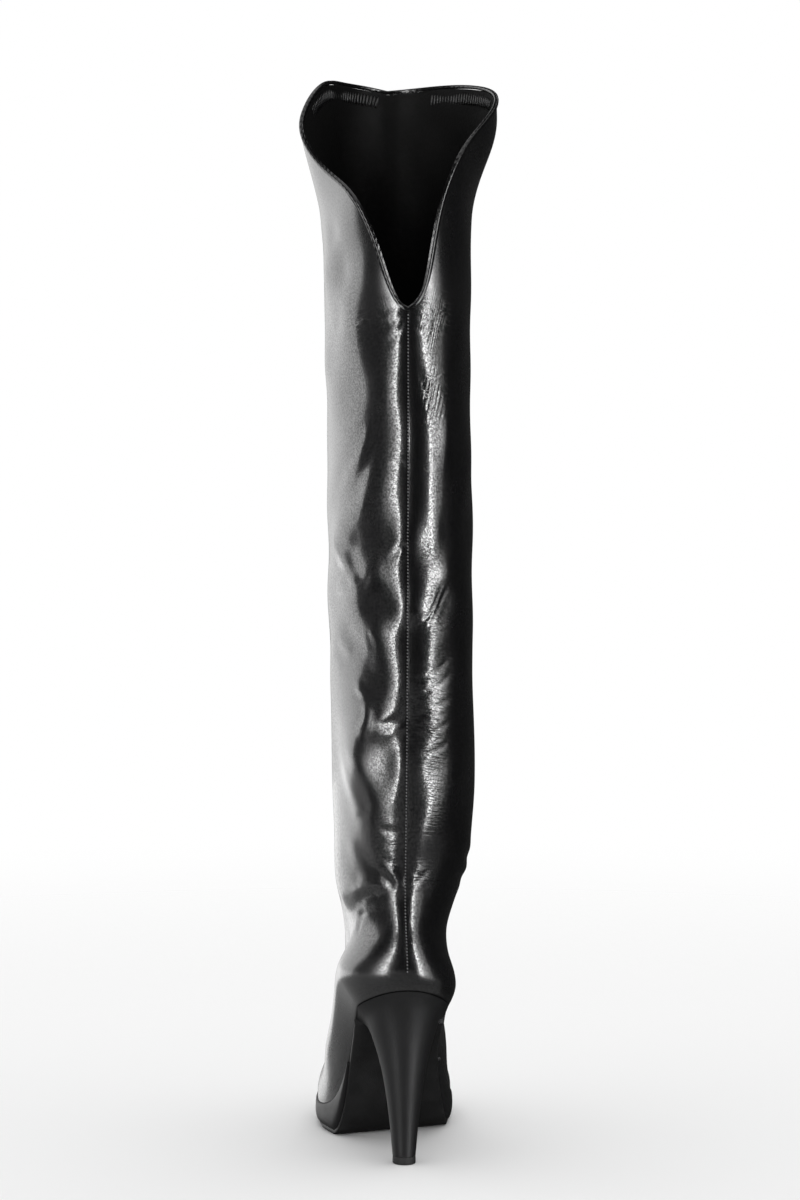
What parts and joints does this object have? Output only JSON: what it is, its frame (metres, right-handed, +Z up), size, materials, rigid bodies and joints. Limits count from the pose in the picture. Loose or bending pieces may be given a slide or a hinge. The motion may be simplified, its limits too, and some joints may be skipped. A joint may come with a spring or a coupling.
{
  "type": "tall boot",
  "caption": "Left over-the-knee boot in glossy black leather with a notched collar, raised back seam, forefoot platform and tall tapered heel.",
  "frame": {"origin": "centre of the boot's overall box in plan, on the floor plane under forefoot and heel tip", "axes": "+Z up the shaft, +Y from heel to toe, +X to the inner side of the foot"},
  "size_m": [0.1272, 0.2462, 0.6884],
  "materials": {
    "upper_leather": "glossy black calf with fine creases",
    "binding_leather": "satin black rolled edge",
    "sock_leather": "matt black",
    "platform_leather": "satin black",
    "sole_leather": "smooth satin black",
    "heel_leather": "satin black",
    "tip_rubber": "matt black"
  },
  "bodies": {
    "root": {"upper": "upper_leather", "collar_binding": "binding_leather", "insole": "sock_leather", "platform": "platform_leather", "outsole": "sole_leather", "heel": "heel_leather", "heel_top_piece": "tip_rubber"}
  },
  "joints": []
}
